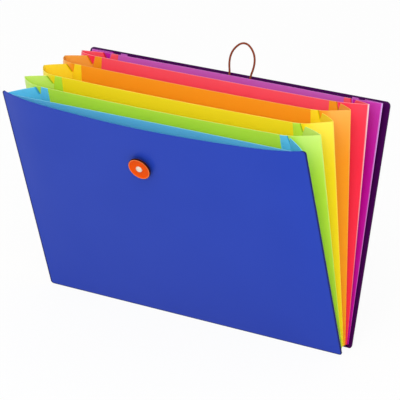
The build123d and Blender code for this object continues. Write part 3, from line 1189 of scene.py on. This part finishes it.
@dataclass
class FrontCover:
    """The stiff blue cover, bowed forward over the front sheet, in millimetres.

    The bow is fuller towards the side seams than an even curve, by the fullness.
    """

    frame: Frame
    wall: Wall
    width: float = 330.0
    height: float = 236.2
    thickness: float = 0.9
    corner: float = 3.0
    corner_step_deg: int = 10
    bow: float = 15.5
    fullness: float = 1.0
    narrowing: float = 1.6
    seam_half_width: float = 160.5
    seam_gap: float = 0.1
    bevel: float = 0.25
    rim: float = 1.8
    rows: int = 30
    columns: int = 64

    @property
    def level(self) -> float:
        """How far the cover's middle lies in front of the front sheet's, at the seam."""
        return self.wall.thickness / 2 + self.seam_gap + self.thickness / 2

    @property
    def floor(self) -> float:
        """The floor's place on the slant."""
        lean = math.radians(self.wall.lean_deg)
        face = self.level + self.thickness / 2
        return (-self.wall.foot.z / MM - face * math.sin(lean)) / math.cos(lean)

    def row(self, up: float) -> list[Vector]:
        """Lay one row of points across the cover.

        Args:
            up: The height above the cover's foot.

        Returns:
            The points from left to right.
        """
        near = min(up, self.height - up)
        half = self.width / 2 - self.narrowing * up / self.height
        if near < self.corner:
            half -= self.corner - math.sqrt(self.corner ** 2 - (self.corner - near) ** 2)
        inner = half - self.rim
        edge = [half - self.rim / 2, half]
        points = []
        for across in [-place for place in reversed(edge)] + spread(-inner, inner, self.columns) + edge:
            span = (across / self.seam_half_width) ** 2
            fuller = 1 + self.fullness * span ** 2 * (span < 1)
            bow = self.bow * up / self.height * (1 - span) * fuller
            points.append(self.wall.at(across, self.floor + up, self.level + bow))
        return points

    def build(self) -> None:
        """Build the cover with painted shade along its side edges and foot."""
        angles = [math.radians(angle) for angle in range(0, 91, self.corner_step_deg)]
        ends = [self.corner * (1 - math.cos(angle)) for angle in angles]
        rows = ends + spread(self.corner, self.height - self.corner, self.rows)[1:-1]
        rows += [self.height - end for end in reversed(ends)]
        # Painted shade: the two outer columns on each side and the rows at the foot take the dark navy tone.
        rim = [1.0, 1.0]
        shades = [rim + [float(up < self.rim / 2)] * (self.columns + 1) + rim for up in rows]
        grid = [self.row(up) for up in rows]
        piece = sheet_piece("front_board", grid, self.thickness, shades, self.bevel)
        self.frame.put(piece, "front", "blue_sheet", "front_cover")


@dataclass
class BackCover:
    """The stiff dark purple cover with its two cord holes.

    Faces larger than the flat area, in square millimetres, are shaded flat.
    """

    frame: Frame
    bevel: float = 0.3
    flat_area: float = 100.0
    flat_deg: float = 1.0

    def build(self) -> None:
        """Build the cover from its solid, with rounded edges."""
        work = bmesh.new()
        work.from_mesh(self.frame.loaded["nodes"]["back_cover"].data)
        bmesh.ops.remove_doubles(work, verts=work.verts, dist=MERGE_DISTANCE)
        flat = math.radians(self.flat_deg)
        bmesh.ops.dissolve_limit(work, angle_limit=flat, verts=work.verts, edges=work.edges)
        mesh = keep_mesh(work, "back_board")
        mesh.attributes.remove(mesh.attributes["custom_normal"])
        piece = new_object("back_board", mesh)
        round_edges(piece, self.bevel, SHEET_EDGE_DEG)
        settle(piece)
        for face in piece.data.polygons:
            face.use_smooth = face.area < self.flat_area * MM ** 2
        self.frame.put(piece, "back_cover", "dark_purple_sheet", "back_cover")


@dataclass
class Button:
    """The closure button on its rivet, in millimetres above the cover's face."""

    frame: Frame
    radius: float = 11.5
    hub_radius: float = 4.5
    hub_height: float = 2.6
    gap: float = 0.15
    thickness: float = 1.8
    rim_width: float = 1.6
    rim_rise: float = 0.6
    chamfer: float = 0.3
    bevel: float = 0.15
    tone_inset: float = 0.18
    tolerance: float = 0.01
    dish: float = 0.35
    bore: float = 2.1
    rivet_radius: float = 2.0
    head_radius: float = 3.3
    head_height: float = 1.6
    crown_radius: float = 1.0
    dome_step_deg: int = 15
    rivet_bevel: float = 0.1
    cover_thickness: float = 0.9
    cap_radius: float = 4.5
    cap_thickness: float = 1.4
    cap_gap: float = 0.2
    cap_bevel: float = 0.3
    post_gap: float = 0.05

    def place(self) -> Matrix:
        """Return where the button's axis stands on the cover."""
        hinge = self.frame.hinge("button_turn")
        turn = hinge.axis.to_track_quat("Z", "X").to_matrix().to_4x4()
        return Matrix.Translation(hinge.position) @ turn

    def disc(self) -> None:
        """Build the dished disc on its hub, with a painted highlight on the rim's outer part and painted
        shade on its side.
        """
        seat = self.gap + self.hub_height
        face, edge, rim = seat + self.thickness, self.radius, self.rim_rise
        land, corner, inner = self.head_radius + rim, edge - self.chamfer, edge - self.rim_width
        profile = [
            (self.bore, self.gap), (self.hub_radius, self.gap), (self.hub_radius, seat), (edge - rim, seat),
            (edge, seat + rim), (edge, face + rim - self.chamfer), (corner, face + rim),
            (corner - self.tone_inset, face + rim), (inner, face + rim), (inner - rim, face - self.dish / 2),
            (land + rim, face - self.dish), (land, face), (self.bore, face),
        ]
        piece = lathe("button_disc", profile, self.place(), self.bevel)
        inverse = self.place().inverted()
        # Painted highlight from the middle of the rim outwards, and painted shade on the outer chamfer and
        # side.
        dark_from = (corner - self.tone_inset + self.tolerance) * MM
        pale_from = (inner + rim / 2) * MM
        spans = [(inverse @ vertex.co).xy.length for vertex in piece.data.vertices]
        tint(piece.data, [float(span > pale_from) - 2.0 * (span > dark_from) for span in spans])
        self.frame.put(piece, "button", "button", "closure_button")

    def rivet(self) -> None:
        """Build the domed rivet and the cap that holds it inside the cover."""
        seat = self.gap + self.hub_height + self.thickness + self.gap
        foot = -self.cover_thickness - self.cap_gap - self.cap_thickness
        post, top = self.rivet_radius, foot + self.cap_thickness
        profile = [(0, foot), (post, foot), (post, seat)]
        for angle in (math.radians(step) for step in range(0, 91, self.dome_step_deg)):
            round_out = (self.head_radius - self.crown_radius) * math.cos(angle)
            profile.append((self.crown_radius + round_out, seat + self.head_height * math.sin(angle)))
        profile.append((0, seat + self.head_height))
        piece = lathe("rivet_post", profile, self.place(), self.rivet_bevel)
        self.frame.put(piece, "front", "rivet", "button_rivet")
        hole = post + self.post_gap
        ring = [(hole, foot), (self.cap_radius, foot), (self.cap_radius, top), (hole, top)]
        piece = lathe("rivet_washer", ring, self.place(), self.cap_bevel)
        self.frame.put(piece, "front", "rivet", "rivet_cap")

    def build(self) -> None:
        """Build the button and its rivet."""
        self.disc()
        self.rivet()


@dataclass
class Elastic:
    """The elastic cord on the back cover and its two end stops, in millimetres.

    The route is given from the loop's middle line and the cover's top edge, on the right side.
    """

    frame: Frame
    wall: Wall
    diameter: float = 2.0
    length: float = 102.0
    flats: int = 16
    middle_x: float = 4.0
    top: float = 231.1
    face_gap: float = 0.2
    loop_points: tuple[tuple[float, float], ...] = (
        (12.0, 1.6), (13.4, 6.8), (13.9, 13.6), (12.4, 20.3), (8.6, 25.8), (3.2, 29.9),
    )
    leg_points: tuple[tuple[float, float], ...] = ((11.3, -9.4), (11.5, -3.2))
    stop_gap: float = 0.05
    stop_length: float = 3.6
    stop_radius: float = 2.4
    stop_bore_gap: float = 0.1
    stop_bevel: float = 0.15
    stop_flats: int = 32
    crimp_depth: float = 0.35
    crimp_shares: tuple[float, ...] = (0.3, 0.4, 0.6, 0.7)
    bend_reach: float = 4.0

    @property
    def level(self) -> float:
        """How far in front of the cover's middle the cord runs."""
        return self.wall.thickness / 2 + self.face_gap + self.diameter / 2

    def place(self, across: float, above: float, level: float) -> Vector:
        """Return a point given from the loop's middle line and the cover's top edge."""
        return self.wall.at(self.middle_x + across, self.top + above, level)

    def route(self) -> list[Vector]:
        """Return the cord's route from the right-hand end stop over the loop to the left-hand one."""
        end = self.wall.thickness / 2 + self.stop_gap + self.stop_length
        half = [(*self.leg_points[0], -end)]
        half += [(across, above, self.level) for across, above in self.leg_points + self.loop_points]
        other = [(-across, above, level) for across, above, level in reversed(half)]
        return [self.place(*point) for point in half + other]

    def line(self) -> list[Vector]:
        """Return points on the smooth line that the cord follows."""
        route = self.route()
        curve = bpy.data.curves.new("elastic_route", "CURVE")
        curve.dimensions = "3D"
        spline = curve.splines.new("NURBS")
        spline.points.add(len(route) - 1)
        for point, place in zip(spline.points, route):
            point.co = (*place, 1.0)
        spline.order_u = 3
        spline.use_endpoint_u = True
        spline.resolution_u = 12
        holder = bpy.data.objects.new("elastic_route", curve)
        mesh = bpy.data.meshes.new_from_object(holder)
        points = [vertex.co.copy() for vertex in mesh.vertices]
        bpy.data.meshes.remove(mesh)
        bpy.data.objects.remove(holder)
        bpy.data.curves.remove(curve)
        return points

    def cord(self, stops: Piece) -> None:
        """Build the cord as one tube along its route.

        Args:
            stops: The end stops on the cord, not used.
        """
        path = self.line()
        piece = grow("elastic_cord", [path], self.frame.tube, {
            "Radius": self.diameter / 2 * MM, "Flats": self.flats,
            "Material": self.frame.finishes["elastic"],
        })
        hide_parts("elastic_loop", "elastic_legs")
        hinge = self.frame.hinge("loop_swing").position
        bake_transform(piece)
        LOG.info("%s bends between back_cover and loop, %d faces", piece.name, len(piece.data.polygons))

    def stops(self) -> Piece:
        """Build the two crimped stops behind the cover.

        Returns:
            The stops as one object.
        """
        bore, crimp = self.diameter / 2 + self.stop_bore_gap, self.stop_radius - self.crimp_depth
        start, end = self.stop_gap, self.stop_gap + self.stop_length
        waist = [start + self.stop_length * share for share in self.crimp_shares]
        radii = (self.stop_radius, crimp, crimp, self.stop_radius)
        profile = [(bore, start), (self.stop_radius, start), *zip(radii, waist)]
        profile += [(self.stop_radius, end), (bore, end)]
        turn = (-self.wall.out).to_track_quat("Z", "X").to_matrix().to_4x4()
        hole_x, hole_up = self.leg_points[0]
        made = []
        for side in Side:
            origin = self.place(side.value * hole_x, hole_up, -self.wall.thickness / 2)
            place = Matrix.Translation(origin) @ turn
            made.append(lathe("cord_stops", profile, place, self.stop_bevel, self.stop_flats))
        first, second = made
        work = bmesh.new()
        for part in made:
            work.from_mesh(part.data)
        work.to_mesh(first.data)
        work.free()
        smooth(first.data)
        bpy.data.objects.remove(second)
        return self.frame.put(first, "back_cover", "ferrule", "elastic_end_stops")

    def build(self) -> None:
        """Build the stops and the cord."""
        self.cord(self.stops())


@dataclass(frozen=True)
class Studio:
    """The pale floor, soft light and camera, in millimetres and degrees."""

    azimuth: float = 31.59
    elevation: float = 20.98
    distance: float = 2177.8
    target: tuple[float, float, float] = (0.0, -8.6, 120.4)
    lens: float = 205.9
    sensor: float = 36.0
    shift: tuple[float, float] = (0.0081, -0.004)
    clip: tuple[float, float] = (50.0, 50000.0)
    floor_size: float = 9000.0
    floor_drop: float = 0.3
    floor_colour: str = "#F6F6F6"
    floor_roughness: float = 0.9
    floor_white: float = 0.93
    sky: float = 0.7
    key_size: float = 1800.0
    key_power: float = 39.0
    key_place: tuple[float, float, float] = (700.0, -1925.0, 1600.0)

    def aim(self, name: str, data: bpy.types.ID, place: Vector) -> Piece:
        """Set a camera or lamp in the scene, turned to the target.

        Args:
            name: The object's name.
            data: The camera or lamp.
            place: Where it stands, in metres.

        Returns:
            The new object.
        """
        piece = new_object(name, data)
        piece.location = place
        piece.rotation_euler = (Vector(self.target) * MM - place).to_track_quat("-Z", "Y").to_euler()
        return piece

    def camera(self) -> None:
        """Set the camera at the photograph's viewing angle."""
        azimuth, elevation = math.radians(self.azimuth), math.radians(self.elevation)
        level = Vector((math.sin(azimuth), -math.cos(azimuth), 0)) * math.cos(elevation)
        back = level + Vector((0, 0, math.sin(elevation)))
        data = bpy.data.cameras.new("camera")
        data.lens, data.sensor_width = self.lens, self.sensor
        data.shift_x, data.shift_y = self.shift
        data.clip_start, data.clip_end = (distance * MM for distance in self.clip)
        place = (Vector(self.target) + back * self.distance) * MM
        bpy.context.scene.camera = self.aim("camera", data, place)

    def floor(self) -> None:
        """Lay the pale floor."""
        half = self.floor_size / 2 * MM
        mesh = bpy.data.meshes.new("floor")
        corners = [(-half, -half), (half, -half), (half, half), (-half, half)]
        mesh.from_pydata([(x, y, -self.floor_drop * MM) for x, y in corners], [], [(0, 1, 2, 3)])
        material, tree = empty_material("pale_floor")
        shader = add_node(tree, "ShaderNodeBsdfPrincipled", {
            "Base Color": linear(self.floor_colour), "Roughness": self.floor_roughness,
            "Specular IOR Level": 0.0,
        })
        # Seen straight or mirrored, the floor is mostly plain white and keeps a faint shadow.
        ray = add_node(tree, "ShaderNodeLightPath").outputs
        rays = {0: ray["Is Camera Ray"], 1: ray["Is Glossy Ray"]}
        seen = add_node(tree, "ShaderNodeMath", rays, operation="MAXIMUM").outputs[0]
        share = add_node(tree, "ShaderNodeMath", {0: seen, 1: self.floor_white}, operation="MULTIPLY")
        white = add_node(tree, "ShaderNodeEmission", {"Color": WHITE, "Strength": 1.0})
        mix = add_node(tree, "ShaderNodeMixShader", {
            0: share.outputs[0], 1: shader.outputs["BSDF"], 2: white.outputs[0],
        })
        add_node(tree, "ShaderNodeOutputMaterial", {"Surface": mix.outputs[0]})
        mesh.materials.append(material)
        new_object("floor", mesh)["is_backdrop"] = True

    def light(self) -> None:
        """Light the object with a white sky and one large soft lamp."""
        world = bpy.data.worlds.new("studio")
        world.use_nodes = True
        tree = world.node_tree
        tree.nodes.clear()
        ray = add_node(tree, "ShaderNodeLightPath")
        sky = add_node(tree, "ShaderNodeBackground", {"Color": WHITE, "Strength": self.sky})
        seen = add_node(tree, "ShaderNodeBackground", {"Color": WHITE, "Strength": 1.0})
        mix = add_node(tree, "ShaderNodeMixShader", {
            0: ray.outputs["Is Camera Ray"], 1: sky.outputs[0], 2: seen.outputs[0],
        })
        add_node(tree, "ShaderNodeOutputWorld", {"Surface": mix.outputs[0]})
        bpy.context.scene.world = world
        lamp = bpy.data.lights.new("key", "AREA")
        lamp.shape, lamp.size, lamp.energy = "SQUARE", self.key_size * MM, self.key_power
        self.aim("key", lamp, Vector(self.key_place) * MM)

    def build(self) -> None:
        """Build the studio."""
        self.camera()
        self.floor()
        self.light()
        bpy.context.scene.view_settings.view_transform = "Standard"


@dataclass
class AccordionFile:
    """The whole file: every wall read from the frame and every sub-assembly on it."""

    frame: Frame
    cut: SheetCut = field(default_factory=SheetCut)
    back_lean: float = 16.4
    back_thickness: float = 1.2
    hem: float = 3.0

    def back_wall(self) -> Wall:
        """Return the back cover, which stands at the origin."""
        lean = math.radians(self.back_lean)
        foot = Vector((0, math.sin(lean), math.cos(lean))) * self.hem * MM
        return Wall("back_cover", foot, self.back_lean, self.back_thickness, self.cut)

    def sheets(self) -> list[PocketSheet]:
        """Return the pocket sheets from the back to the front."""
        made, behind = [], self.back_wall()
        for colour in reversed(PocketColour):
            body, strip = "front", 0.0
            if not colour.is_front:
                body = colour.named("sheet")
                strip = self.frame.hinge(colour.named("strip_fold", Side.RIGHT)).fold_deg
            pocket = colour.named("pocket")
            hinge = self.frame.hinge(pocket)
            half = colour.panel_half(self.cut, self.cut.height)
            lean = behind.lean_deg - hinge.fold_deg
            wall = Wall(
                body, hinge.position, lean, self.cut.thickness, self.cut,
                colour.value.bow, half, strip, pocket,
            )
            made.append(PocketSheet(self.frame, colour, wall, behind, self.cut))
            behind = wall
        return made

    def build(self) -> None:
        """Build every sub-assembly in order."""
        BackCover(self.frame).build()
        Elastic(self.frame, self.back_wall()).build()
        sheets = self.sheets()
        for sheet in sheets:
            sheet.build()
        FrontCover(self.frame, sheets[-1].wall).build()
        Button(self.frame).build()


def main() -> None:
    """Build the studio and the file."""
    logging.basicConfig(level=logging.INFO, format="%(message)s")
    frame = Frame()
    Studio().build()
    AccordionFile(frame).build()


if __name__ == "__main__":
    main()
